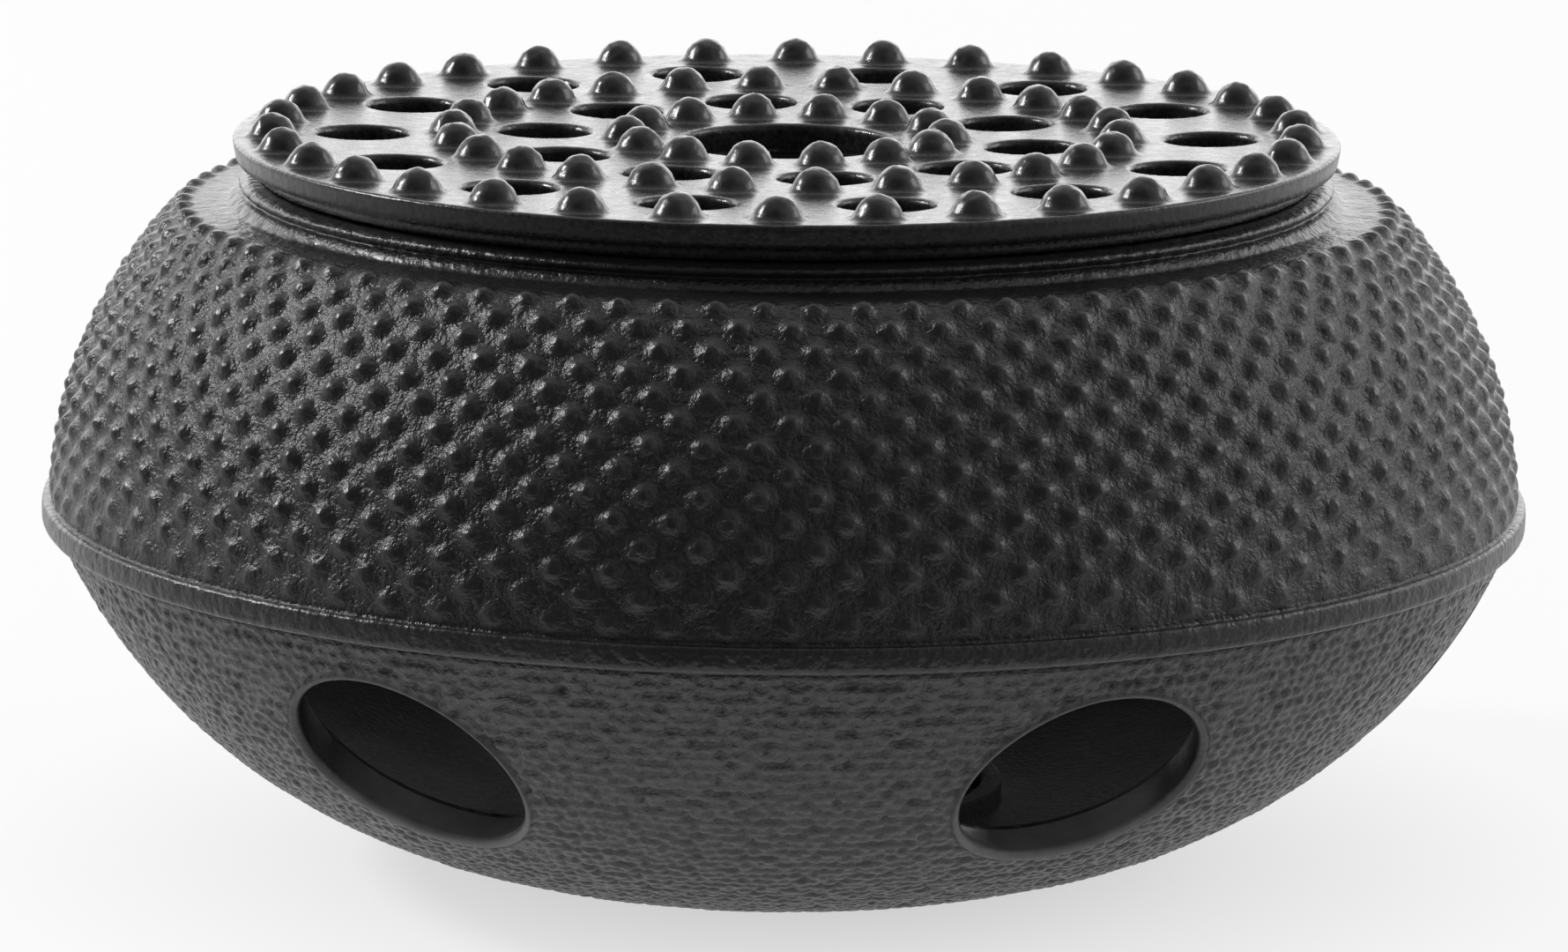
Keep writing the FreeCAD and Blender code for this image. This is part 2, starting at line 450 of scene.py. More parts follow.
def open_holes(grid, circle, rim, reach):
    """Bends a grid on the bowl, in place, so that a block of it opens into each round air hole.

    Gives which faces stay, and the rows and columns of each hole's border."""
    rows, around = grid.shape[:2]
    heights = grid[:, 0, 2]
    mouth, _, _, out = hole_axes(0)
    middle_height = settle(mouth[None], out, circle)[0, 2]
    middle = int(np.argmin(abs(heights - middle_height)))
    step_up = np.linalg.norm(grid[middle + 1, 0] - grid[middle, 0])
    step_across = np.linalg.norm(grid[middle, 1] - grid[middle, 0])
    half_up = round(hole_block * rim / step_up)
    half_across = round(hole_block * rim / step_across)
    wide, tall = int(reach * half_across), int(reach * half_up)
    row = np.arange(-tall, tall + 1)[:, None]
    column = np.arange(-wide, wide + 1)[None, :]
    size, turn = square_to_circle(column / half_across, row / half_up)
    circle_size = rim * (1 + hole_easing * (size - 1))
    rounded = circle_size[..., None] * np.stack([np.cos(turn), np.sin(turn)], -1)
    blend = smooth_step(1, reach, size)[..., None]
    kept = np.ones((rows - 1, around), bool)
    borders = []
    for index in range(hole_count):
        centre = index * around // hole_count
        mouth, across, up, out = hole_axes(index)
        row_ids, column_ids = middle + row, (centre + column) % around
        local = grid[row_ids, column_ids] - mouth
        flat = np.stack([local @ across, local @ up], -1)
        target = rounded * (1 - blend) + flat * blend
        moved = mouth + target[..., :1] * across + target[..., 1:] * up
        grid[row_ids, column_ids] = settle(moved, out, circle)
        cut_rows = middle + np.arange(-half_up, half_up)
        cut_columns = (centre + np.arange(-half_across, half_across)) % around
        kept[np.ix_(cut_rows, cut_columns)] = False
        borders.append(border_of(middle, centre, half_up, half_across, around))
    return kept, borders


def border_of(middle, centre, half_up, half_across, around):
    """Rows and columns round the block of one hole, anticlockwise from its lower left corner."""
    across = np.arange(-half_across, half_across)
    up = np.arange(-half_up, half_up)
    rows = np.concatenate([0 * across - half_up, up, 0 * across + half_up, -up])
    cols = np.concatenate([across, 0 * up + half_across, -across, 0 * up - half_across])
    return middle + rows, (centre + cols) % around


def border_turns(points, index):
    """Angle of each border point about its hole, rising from the first, with one more to close."""
    mouth, across, up, _ = hole_axes(index)
    turns = np.arctan2((points - mouth) @ up, (points - mouth) @ across)
    turns = np.unwrap(turns)
    return np.append(turns, turns[0] + 2 * math.pi)


def pebble_relief(points):
    """Height of domed pebbles in loose rows round the bowl, from 0 in the deepest seams to 1 on top."""
    turns = np.arctan2(points[:, 1], points[:, 0])
    around = np.hypot(points[:, 0], points[:, 1])
    along = bowl_circle[2] * np.arctan2(points[:, 2] - bowl_circle[1], around - bowl_circle[0])
    nearest = np.ones(len(points))
    for row_step, column_step in np.ndindex(3, 3):
        row = np.round(along / pebble_size) + row_step - 1
        row_radius = bowl_circle[0] + bowl_circle[2] * np.cos(row * pebble_size / bowl_circle[2])
        pitch = 2 * math.pi / np.round(2 * math.pi * row_radius / pebble_size)
        shift = pitch / 2 * (row % 2)
        column = np.round((turns - shift) / pitch) + column_step - 1
        place_in_row = column % np.round(2 * math.pi / pitch)
        keys = np.stack([row, place_in_row, 0 * row], -1).astype(np.int64)
        scatter = lattice(keys, pebble_seed) - 0.5
        across = (turns - shift - column * pitch) * around / pebble_size + pebble_scatter * scatter[:, 0]
        up = along / pebble_size - row + pebble_scatter * scatter[:, 1]
        nearest = np.minimum(nearest, np.hypot(across, up))
    return 1 - nearest ** 2


def pebble_share(points):
    """Share of the pebbles at each point of the bowl: none at the base, the band and the air holes."""
    near_hole = np.full(len(points), math.inf)
    for index in range(hole_count):
        mouth, across, up, out = hole_axes(index)
        away = np.hypot((points - mouth) @ across, (points - mouth) @ up)
        same_side = points @ out > 0
        near_hole = np.where(same_side, np.minimum(near_hole, away), near_hole)
    height = points[:, 2]
    share = smooth_step(rim_radius + hole_fade[0], rim_radius + hole_fade[1], near_hole)
    share *= smooth_step(*base_fade, height) * smooth_step(bowl_height, bowl_height - band_fade, height)
    return share


def hobnail_relief(turns, along, radius):
    """Height of the hobnails, from 0 to 1, at angles, lengths up the dome and radii."""
    pitch = 2 * math.pi / hobnail_count
    draws = np.random.default_rng(hobnail_seed)
    spread = draws.normal(0, hobnail_spread, (3, hobnail_rows, hobnail_count))
    nearest = np.round((along - hobnail_first_row) / hobnail_row_pitch)
    relief = np.zeros(np.broadcast(turns, along).shape)
    for step in (-1, 0, 1):
        row = nearest + step
        shift = hobnail_angle + pitch / 2 * ((row + 1) % 2)
        column = np.round((turns - shift) / pitch)
        row_id = np.broadcast_to(np.clip(row, 0, hobnail_rows - 1), relief.shape).astype(int)
        column_id = (column % hobnail_count).astype(int)
        off_across, off_up, off_size = spread[:, row_id, column_id]
        across = (turns - shift - column * pitch) * radius + off_across
        up = along - hobnail_first_row - row * hobnail_row_pitch + off_up
        share = np.clip(1 - (across ** 2 + up ** 2) / hobnail_radius ** 2, 0, 1)
        there = (row >= 0) & (row < hobnail_rows)
        relief = np.maximum(relief, share ** hobnail_point * (1 + off_size) * there)
    return relief


def base_surface(turns):
    outline = [(base_middle, 0), (base_radius - base_edge, 0), (bowl_foot_radius, bowl_foot_height)]
    return spin(soften(outline, base_round), turns)


def bowl_surface(turns):
    """Points and relief of the pebbled bowl, which faces stay, and the borders of the air holes."""
    start = (bowl_foot_radius, under_circle(bowl_circle, bowl_foot_radius))
    bowl = spin(circle_points(bowl_circle, start, (bowl_top_radius, bowl_height), bowl_rows), turns)
    kept, borders = open_holes(bowl, bowl_circle, rim_radius, bowl_reach)
    flat = bowl.reshape(-1, 3)
    share = pebble_share(flat).reshape(bowl.shape[:2])
    pebbles = share * pebble_relief(flat).reshape(bowl.shape[:2])
    swell = cast_lumps(bowl, bowl_swells)
    lift = share * (swell - bowl_sink) + pebble_height * (pebbles - share)
    return raise_skin(bowl, circle_normals(bowl, bowl_circle), lift), pebbles, kept, borders


def band_surface(turns):
    band = spin(soften([
        (bowl_top_radius, bowl_height),
        (band_radius, bowl_height),
        (band_radius, band_top),
        (dome_bottom_radius, band_top),
    ], band_round), turns)
    lift = cast_lumps(band, band_swells) - band_sink
    return raise_skin(band, band * [1, 1, 0] / band_radius, lift)


def dome_profile():
    """Outline of the dome and its rounded shoulder, from the band up."""
    end = (on_circle(dome_circle, dome_top - shoulder_drop), dome_top - shoulder_drop)
    dome = circle_points(dome_circle, (dome_bottom_radius, band_top), end, dome_rows)
    shoulder_end = (dome_top_radius - shoulder_width, dome_top)
    shoulder_circle = arc_circle(end, shoulder_end, shoulder_round)
    shoulder = circle_points(shoulder_circle, end, shoulder_end, shoulder_rows)
    return np.concatenate([dome, shoulder[1:]])


def dome_surface(turns):
    """Points and relief of the dome with its hobnails."""
    profile = dome_profile()
    dome = spin(profile, turns)
    steps = np.linalg.norm(np.diff(profile, axis=0), axis=1)
    along = np.concatenate([[0], np.cumsum(steps)])[:, None]
    nails = hobnail_relief(turns[None, :], along, profile[:, :1])
    fullness = hobnail_low_share + (1 - hobnail_low_share) * smooth_step(0, hobnail_full_from, along)
    lift = nails * (hobnail_height * fullness) + cast_lumps(dome, dome_swells) - dome_sink
    shoulder = smooth_step(dome_top - shoulder_drop, dome_top - shoulder_blend, dome[..., 2])
    relief = np.maximum(nails, shoulder_smoothness * shoulder)
    return raise_skin(dome, spin(profile_normals(profile), turns), lift), relief


def neck_surface(turns):
    """Points of the neck, from the shoulder to just inside its bore, and how whole its enamel is."""
    neck = spin(soften([
        tuple(dome_profile()[-1]),
        (neck_foot_radius, dome_top + neck_foot_rise),
        (neck_rim_radius, dome_top + neck_rim_rise),
        (neck_groove_radius, dome_top + neck_groove_rise),
        (neck_groove_radius, neck_top - neck_groove_drop),
        (neck_radius, neck_top - neck_bead_foot_drop),
        (neck_radius, neck_top - neck_bead_top_drop),
        (neck_radius - neck_chamfer, neck_top),
        (neck_bore, neck_top),
        (neck_bore, neck_top - bore_seam_top),
    ], neck_round), turns)
    lift = cast_lumps(neck, neck_swells) - neck_sink
    height = neck[..., 2]
    rim_edge = np.exp(-((height - dome_top - neck_rim_rise) / rim_wear_width) ** 2)
    bead_edge = np.exp(-((height - neck_top + neck_bead_drop) / bead_wear_width) ** 2)
    smoothness = neck_smoothness - neck_smoothness * np.maximum(rim_edge, bead_wear * bead_edge)
    return raise_skin(neck, neck * [1, 1, 0] / neck_radius, lift), smoothness


def chamber_roof(turns):
    """Inside of the neck and the dome, from the top down to the band."""
    ceiling = dome_top + ceiling_rise - wall
    ceiling_edge = (on_circle(inner_dome, ceiling), ceiling)
    dome_foot = (on_circle(inner_dome, band_top), band_top)
    roof = [(neck_bore, neck_top - bore_seam_bottom), (neck_bore, ceiling), ceiling_edge]
    inner_wall = circle_points(inner_dome, ceiling_edge, dome_foot, inner_dome_rows)
    return spin(np.concatenate([soften(roof, ceiling_round)[:-1], inner_wall]), turns)


def chamber_bowl(turns):
    """Inside of the bowl from the floor up, which faces stay, and the borders of the air holes."""
    brim = (on_circle(inner_bowl, bowl_height), bowl_height)
    outline = circle_points(inner_bowl, (floor_radius, floor_top), brim, inner_bowl_rows)
    inside = spin(outline, turns)
    kept, borders = open_holes(inside, inner_bowl, hole_radius + bore_flare, inner_reach)
    return inside, kept, borders


def chamber_floor(turns):
    """Floor with the raised ring that holds the tealight."""
    return spin(soften([
        (floor_radius, floor_top),
        (ring_outer, floor_top),
        (ring_outer, floor_top + ring_height),
        (ring_inner, floor_top + ring_height),
        (ring_inner, floor_top),
        (floor_middle, floor_top),
    ], floor_round), turns)


def add_lip(skin, index, rim_ids, rim_points):
    """Rounded lip and bore of one air hole. Gives the bore's inner ring and the angles of its points."""
    mouth, across, up, out = hole_axes(index)
    turns = border_turns(rim_points, index)
    way = np.cos(turns[:-1, None]) * across + np.sin(turns[:-1, None]) * up
    # Painted light: marks the lower side of the lip, which the lip enamel paints pale grey.
    painted_light_lip = smooth_step(lip_painted_light_from, lip_painted_light_full, np.sin(turns[:-1]))
    rings = [rim_ids]
    for bend in np.linspace(0, math.pi / 2, lip_rows)[1:]:
        size = hole_radius + lip_round * (1 - math.sin(bend))
        depth = lip_depth * (1 - math.cos(bend))
        lip = settle(mouth + size * way, out, bowl_circle) - depth * out
        lip = lip + cast_lumps(lip, lip_swells)[:, None] * way
        rings.append(skin.add(lip, painted_light_lip))
    bore_end = hole_radius + bore_flare_share * bore_flare
    bore = settle(mouth + bore_end * way, out, bowl_circle) - (wall - bore_stop) * out
    rings.append(skin.add(bore, painted_light_lip))
    skin.join(np.array(rings))
    return rings[-1], turns


def body_mesh():
    """The casting of the warmer in one closed skin, with the finish of each of its faces."""
    skin = Skin()
    turns = turns_of(columns)
    inner_turns = turns_of(inner_columns)

    # Outside, from the base to the neck
    bowl, pebbles, kept, borders = bowl_surface(turns)
    base_rings = skin.add(base_surface(turns)[:-1])
    bowl_rings = skin.add(bowl, pebbles)
    skin.cap(base_rings[0], (0, 0, 0), False)
    skin.join(np.concatenate([base_rings, bowl_rings[:1]]))
    bowl_from = len(skin.faces)
    skin.join(bowl_rings, kept)
    bowl_until = len(skin.faces)
    band_rings = skin.add(band_surface(turns)[1:-1], band_smoothness)
    skin.join(np.concatenate([bowl_rings[-1:], band_rings]))
    dome_rings = skin.add(*dome_surface(turns))
    skin.join(np.concatenate([band_rings[-1:], dome_rings]))
    neck, smoothness = neck_surface(turns)
    neck_rings = skin.add(neck[1:], smoothness[1:])
    skin.join(np.concatenate([dome_rings[-1:], neck_rings]))

    # Points of the inside, then the lips and bores of the air holes
    inside, inner_kept, inner_borders = chamber_bowl(inner_turns)
    roof_rings = skin.add(chamber_roof(inner_turns))
    inside_rings = skin.add(inside)
    floor_rings = skin.add(chamber_floor(inner_turns)[1:])
    lips_from = len(skin.faces)
    bores = [add_lip(skin, index, bowl_rings[border], bowl[border]) for index, border in enumerate(borders)]

    # Faces of the inside
    inside_from = len(skin.faces)
    full_turn = np.append(turns, turns[0] + 2 * math.pi)
    inner_full_turn = np.append(inner_turns, inner_turns[0] + 2 * math.pi)
    skin.stitch(neck_rings[-1], roof_rings[0], full_turn, inner_full_turn)
    skin.join(np.concatenate([roof_rings, inside_rings[-1:]]))
    skin.join(inside_rings[::-1], inner_kept[::-1])
    skin.join(np.concatenate([inside_rings[:1], floor_rings]))
    skin.cap(floor_rings[-1], (0, 0, floor_top), True)
    for index, (bore_ids, bore_turns) in enumerate(bores):
        border = inner_borders[index]
        skin.stitch(bore_ids, inside_rings[border], bore_turns, border_turns(inside[border], index))

    # Finishes, numbered in the order of the body's materials
    sooty, pebbled, painted_light_lip = 1, 2, 3
    mesh = skin.mesh("warmer_casting")
    finish = np.zeros(len(mesh.polygons), np.int32)
    finish[inside_from:] = sooty
    finish[bowl_from:bowl_until] = pebbled
    # The lips take the enamel with painted light on their lower side.
    finish[lips_from:inside_from] = painted_light_lip
    mesh.polygons.foreach_set("material_index", finish)
    return mesh


def soft_max(first, second, size):
    """Larger of two distances, with the crease between them rounded off."""
    overlap = np.maximum(size - abs(first - second), 0) / size
    return np.maximum(first, second) + overlap * overlap * size / 4


def soft_min(first, second, size):
    return -soft_max(-first, -second, size)


def ring_distance(points, radius, count, first_angle):
    """Level distance from each point to the nearest place in a ring."""
    pitch = 2 * math.pi / count
    turn = np.arctan2(points[:, 1], points[:, 0]) - math.radians(first_angle)
    turn = (turn + pitch / 2) % pitch - pitch / 2
    around = np.hypot(points[:, 0], points[:, 1])
    return np.hypot(around * np.cos(turn) - radius, around * np.sin(turn))


def plate_top_at(radius):
    return plate_edge - plate_dish * (1 - radius / plate_radius)


def plate_distance(points):
    """How far points stand off the plate's surface, below zero inside the iron."""
    around = np.hypot(points[:, 0], points[:, 1])
    height = points[:, 2]
    above = height - plate_top_at(around)
    lean = plate_slant * (plate_edge - height) / (plate_edge - neck_top - rebate_height)
    side = around - plate_radius + lean
    rim = soft_max(soft_max(side, above, plate_soft), neck_top + rebate_height - height, plate_soft)
    seat = soft_max(soft_max(around - seat_radius, above, plate_soft), neck_top - height, plate_soft)
    lip = soft_max(abs(around - lip_middle) - lip_half_width, lip_bottom - height, plate_soft)
    lip = soft_max(lip, height - neck_top - rebate_height, plate_soft)
    plate = np.minimum(np.minimum(rim, seat), lip)
    plate = soft_max(plate, centre_hole_radius - around, plate_soft)
    for ring in hole_rings:
        plate = soft_max(plate, plate_hole_radius - ring_distance(points, *ring), plate_soft)
    for ring in bump_rings:
        rise = height - plate_top_at(ring[0]) - bump_lift
        plate = soft_min(plate, np.hypot(ring_distance(points, *ring), rise) - bump_radius, bump_fillet)
    return plate


def plate_slopes(points):
    """Ways out of the plate's surface."""
    step = 0.02
    slopes = []
    for axis in np.eye(3):
        rise = plate_distance(points + step * axis) - plate_distance(points - step * axis)
        slopes.append(rise / (2 * step))
    slopes = np.stack(slopes, -1)
    return slopes / np.maximum(np.linalg.norm(slopes, axis=1), 0.1)[:, None]


def even_plate():
    """The CAD plate as a mesh of even, slightly smoothed faces."""
    sharp = bpy.data.objects.new("sharp_plate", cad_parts["trivet_plate"].data.copy())
    bpy.context.scene.collection.objects.link(sharp)
    even = sharp.modifiers.new("even", "REMESH")
    even.mode = "VOXEL"
    even.voxel_size = plate_voxel * MM
    soft = sharp.modifiers.new("soft", "SMOOTH")
    soft.iterations = 3
    view = bpy.context.evaluated_depsgraph_get()
    mesh = bpy.data.meshes.new_from_object(sharp.evaluated_get(view))
    bpy.data.objects.remove(sharp)
    return mesh


def plate_mesh():
    """Plate with the cast softness of its edges and bumps and its slightly lumpy lacquer."""
    fit_rounds, fit_step = 5, 0.3
    mesh = even_plate()
    mesh.name = "trivet_casting"
    points = np.zeros(3 * len(mesh.vertices), np.float32)
    mesh.vertices.foreach_get("co", points)
    points = points.reshape(-1, 3).astype(float) / MM
    for _ in range(fit_rounds):
        points -= np.clip(plate_distance(points), -fit_step, fit_step)[:, None] * plate_slopes(points)
    around = np.hypot(points[:, 0], points[:, 1])
    bumps = smooth_step(bump_foot, bump_full, points[:, 2] - plate_top_at(around))
    lumps = cast_lumps(points, plate_swells) - plate_sink
    points += plate_slopes(points) * (lumps * (plate_lumpiness + bump_lumpiness * bumps))[:, None]
    mesh.vertices.foreach_set("co", (points * MM).astype(np.float32).ravel())
    relief = mesh.attributes.new("relief", "FLOAT", "POINT")
    relief.data.foreach_set("value", bumps.astype(np.float32))
    mesh.materials.clear()
    mesh.shade_smooth()
    mesh.update()
    return mesh


def closed_mesh(name, points, bottom, top):
    """Mesh of a stack of rings, closed at the axis at both ends."""
    skin = Skin()
    rings = skin.add(points)
    skin.cap(rings[0], (0, 0, bottom), False)
    skin.join(rings)
    skin.cap(rings[-1], (0, 0, top), True)
    return skin.mesh(name)


def turned_mesh(name, outline, count, wave=None):
    """Closed turned shape from an outline of (radius, height), from one end on the axis to the other."""
    turns = np.arange(count) * 2 * math.pi / count
    points = spin(outline[1:-1], turns)
    if wave is not None:
        points = wave(points, turns)
    return closed_mesh(name, points, outline[0][1], outline[-1][1])


def cup_mesh():
    """Pressed cup with a stepped bottom, faint drawing creases and a rolled rim."""
    low, high = [corner.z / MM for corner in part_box("tealight_cup")]
    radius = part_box("tealight_cup")[1].x / MM
    side = radius - cup_rim
    inner_side = side - cup_sheet
    outline = soften([
        (0, low + cup_step),
        (side - 3, low + cup_step),
        (side - 2.6, low),
        (side - 0.6, low),
        (side, low + cup_corner),
        (side, high - 0.5),
        (radius, high - 0.4),
        (radius, high),
        (inner_side, high),
        (inner_side, low + cup_sheet + cup_corner),
        (inner_side - 0.6, low + cup_sheet),
        (0, low + cup_sheet),
    ], 0.2)

    def creases(points, turns):
        heights = points[..., 2]
        strength = smooth_step(low + 5, high - 2, heights) * smooth_step(high - 0.5, high - 1.2, heights)
        shrink = 1 - cup_crease_depth * strength * (1 + np.cos(cup_crease_count * turns)) / 2
        return points * np.stack([shrink, shrink, 1 + 0 * shrink], -1)

    return turned_mesh("tealight_cup_pressed", outline, 240, creases)


def wax_mesh():
    """Wax that has sunk a little in the middle and climbs slightly at the cup and the wick."""
    low, high = [corner.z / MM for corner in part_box("tealight_wax")]
    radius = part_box("tealight_wax")[1].x / MM
    steps = np.linspace(radius - 0.3, wax_hole, 22)
    sink = wax_sink * np.sin(math.pi * (steps - wax_hole) / (radius - 1.7)) ** 0.8
    top = [(r, high - s) for r, s in zip(steps, sink)]
    outline = [(0, low), (radius - 0.4, low), (radius, low + 0.4), (radius, high - 0.25)]
    outline += top + [(1.0, high), (0.9, high - 0.6), (0, high - 0.6)]

    def dimples(points, turns):
        flat = points.reshape(-1, 3)
        inner = smooth_step(radius - 0.5, radius - 3, np.hypot(flat[:, 0], flat[:, 1]))
        on_top = flat[:, 2] > high - 2
        flat[:, 2] += wax_dimple * inner * on_top * (unevenness(flat, 5, 71) - 1)
        return flat.reshape(points.shape)

    return turned_mesh("tealight_wax_set", outline, 120, dimples)


def wick_mesh():
    """Three cotton strands twisted together, tapering at the top."""
    low, high = [corner.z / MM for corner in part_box("tealight_wick")]
    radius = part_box("tealight_wick")[1].x / MM
    count, rows = 36, 90
    turns = np.arange(count) * 2 * math.pi / count
    heights = np.linspace(low, high - 0.1, rows)
    twist = 2 * math.pi * (heights - low) / wick_twist
    strands = abs(np.cos(1.5 * (turns[None, :] - twist[:, None])))
    lobes = 1 - strand_depth + strand_depth * strands
    taper = 1 - wick_taper * smooth_step(high - 1.2, high, heights)
    size = radius * lobes * taper[:, None]
    points = np.stack([size * np.cos(turns), size * np.sin(turns), heights[:, None] + 0 * size], -1)
    flat = points.reshape(-1, 3)
    fibres = fibre_depth * (unevenness(flat * [1, 1, 0.3], 0.25, 81) - 1)
    points *= np.stack([1 + fibres, 1 + fibres, 1 + 0 * fibres], -1).reshape(points.shape)
    return closed_mesh("tealight_wick_twisted", points, low, high)


def sustainer_mesh():
    """Pressed disc with a raised collar crimped on the wick."""
    low, high = [corner.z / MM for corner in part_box("wick_sustainer")]
    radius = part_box("wick_sustainer")[1].x / MM
    outline = soften([
        (0, low),
        (radius, low),
        (radius, low + sustainer_sheet),
        (collar_radius + 0.7, low + sustainer_sheet),
        (collar_radius, low + 1.0),
        (collar_radius, high),
        (collar_bore, high),
        (collar_bore, low + sustainer_sheet),
        (0, low + sustainer_sheet),
    ], 0.12)
    return turned_mesh("wick_sustainer_pressed", outline, 72)


class Shader:
    """A material's nodes, with short calls to add and link them."""

    def __init__(self, name):
        self.material = bpy.data.materials.new(name)
        self.material.use_nodes = True
        self.nodes = self.material.node_tree.nodes
        self.links = self.material.node_tree.links
        self.surface = self.nodes["Principled BSDF"]

    def add(self, kind, **settings):
        node = self.nodes.new(kind)
        for key, value in settings.items():
            setattr(node, key, value)
        return node

    def link(self, output, socket):
        self.links.new(output, socket)

    def noise(self, scale, detail=3.0, roughness=0.55, stretch=None):
        place = self.add("ShaderNodeTexCoord").outputs["Object"]
        if stretch:
            mapping = self.add("ShaderNodeMapping")
            mapping.inputs["Scale"].default_value = stretch
            self.link(place, mapping.inputs["Vector"])
            place = mapping.outputs["Vector"]
        node = self.add("ShaderNodeTexNoise")
        node.inputs["Scale"].default_value = scale
        node.inputs["Detail"].default_value = detail
        node.inputs["Roughness"].default_value = roughness
        self.link(place, node.inputs["Vector"])
        return node.outputs["Fac"]

    def ramp(self, value, dark, pale, low=0.3, high=0.7):
        """Colour that goes from dark to pale as a value goes from low to high."""
        node = self.add("ShaderNodeValToRGB")
        stops = [(low, dark), (high, pale)]
        for element, (place, colour) in zip(node.color_ramp.elements, stops):
            element.position = place
            element.color = (*colour, 1)
        self.link(value, node.inputs["Fac"])
        return node.outputs["Color"]

    def remap(self, value, to_low, to_high, low=0.3, high=0.7):
        """Number that goes from to_low to to_high as a value goes from low to high."""
        node = self.add("ShaderNodeMapRange")
        for socket, number in zip(node.inputs[1:5], (low, high, to_low, to_high)):
            socket.default_value = number
        self.link(value, node.inputs["Value"])
        return node.outputs["Result"]

    def mix(self, share, first, second):
        node = self.add("ShaderNodeMix", data_type="RGBA")
        self.link(share, node.inputs["Factor"])
        self.link(first, node.inputs[6])
        self.link(second, node.inputs[7])
        return node.outputs[2]

    def bump(self, height, depth, normal=None):
        node = self.add("ShaderNodeBump")
        node.inputs["Distance"].default_value = depth * MM
        self.link(height, node.inputs["Height"])
        if normal is not None:
            self.link(normal, node.inputs["Normal"])
        return node.outputs["Normal"]

    def attribute(self, name):
        return self.add("ShaderNodeAttribute", attribute_name=name).outputs["Fac"]

    def matt(self, grey, roughness):
        """Plain matt surface of one grey."""
        self.surface.inputs["Base Color"].default_value = (grey, grey, grey, 1)
        self.surface.inputs["Roughness"].default_value = roughness
        self.surface.inputs["Specular IOR Level"].default_value = 0.0

    def blend(self, share, first, second):
        """Ends the material in a mix of two surfaces."""
        both = self.add("ShaderNodeMixShader")
        for output, socket in zip((share, first, second), both.inputs):
            self.link(output, socket)
        self.link(both.outputs[0], self.nodes["Material Output"].inputs["Surface"])
        return self.material

    def finish(self, colour, roughness, normal):
        """Ends the material in one surface with this colour, roughness and normal."""
        self.link(colour, self.surface.inputs["Base Color"])
        self.link(roughness, self.surface.inputs["Roughness"])
        self.link(normal, self.surface.inputs["Normal"])
        return self.material


def iron_enamel(name, gloss, grain_depth):
    """Black enamel over sand-cast iron, smoother on the high spots and grainy between them."""
    s = Shader(name)
    relief = s.attribute("relief")
    clouds = s.noise(70, 4)
    grain = s.noise(1900, 3, 0.6)
    specks = s.noise(800, 2, 0.5)
    high = s.ramp(clouds, (0.012, 0.012, 0.0122), (0.019, 0.019, 0.0194))
    low = s.ramp(grain, (0.006, 0.006, 0.0061), (0.022, 0.0218, 0.0214), 0.35, 0.7)
    colour = s.mix(s.remap(relief, 0.0, 1.0, 0.05, 0.6), low, high)
    coarse = s.bump(specks, grain_depth)
    fine = s.bump(grain, grain_depth, coarse)
    s.link(s.remap(relief, 1.0, 0.35, 0.1, 0.9), fine.node.inputs["Strength"])
    return s.finish(colour, s.remap(specks, gloss, gloss + 0.08), fine)


def pebbled_enamel():
    """Black enamel over the pebbled skin of the bowl, with painted shade: darker in the seams than on the
    pebbles.
    """
    s = Shader("pebbled_enamel")
    relief = s.attribute("relief")
    grain = s.noise(1900, 3, 0.6)
    # Painted shade: the seams between the pebbles are painted darker than their tops.
    colour = s.ramp(relief, (0.012, 0.012, 0.0121), (0.034, 0.034, 0.0342), 0.45, 0.95)
    roughness = s.remap(relief, 0.42, 0.28, 0.5, 0.9)
    domes = s.bump(relief, 0.55)
    return s.finish(colour, roughness, s.bump(grain, 0.25, domes))


def lip_enamel_painted_light():
    """Smooth enamel on the lips of the air holes, with painted light: pale grey along the lower side."""
    s = Shader("lip_enamel_painted_light")
    clouds = s.noise(260, 4)
    grain = s.noise(1500, 3, 0.6)
    whole = s.ramp(clouds, (0.012, 0.012, 0.0122), (0.02, 0.02, 0.0204))
    # Painted light: pale grey for the lower side of the lips.
    painted_light = s.ramp(clouds, (0.1, 0.1, 0.098), (0.15, 0.148, 0.145))
    colour = s.mix(s.attribute("relief"), whole, painted_light)
    return s.finish(colour, s.remap(grain, 0.35, 0.5), s.bump(grain, 0.08))


def sooty_iron():
    """Dull, unpolished inside of the casting."""
    s = Shader("sooty_iron")
    clouds = s.noise(120, 4)
    grain = s.noise(1500, 3, 0.6)
    colour = s.ramp(clouds, (0.026, 0.026, 0.0258), (0.045, 0.0442, 0.043))
    return s.finish(colour, s.remap(grain, 0.65, 0.85), s.bump(grain, 0.15))


def bright_aluminium():
    s = Shader("bright_aluminium")
    streaks = s.noise(900, 3, stretch=(1, 1, 0.08))
    s.surface.inputs["Metallic"].default_value = 1.0
    colour = s.ramp(streaks, (0.74, 0.74, 0.75), (0.86, 0.86, 0.87))
    return s.finish(colour, s.remap(streaks, 0.22, 0.4, 0.2, 0.8), s.bump(streaks, 0.01))


def candle_wax():
    s = Shader("candle_wax")
    clouds = s.noise(160, 4)
    s.surface.inputs["Subsurface Weight"].default_value = 0.35
    s.surface.inputs["Subsurface Radius"].default_value = (0.003, 0.0022, 0.0014)
    colour = s.ramp(clouds, (0.86, 0.83, 0.76), (0.93, 0.91, 0.86))
    return s.finish(colour, s.remap(clouds, 0.32, 0.5), s.bump(s.noise(700, 2), 0.02))


def waxed_cotton():
    s = Shader("waxed_cotton")
    fibres = s.noise(5000, 3, stretch=(1, 1, 0.2))
    colour = s.ramp(fibres, (0.72, 0.69, 0.6), (0.92, 0.9, 0.84))
    return s.finish(colour, s.remap(fibres, 0.6, 0.85), s.bump(fibres, 0.04))


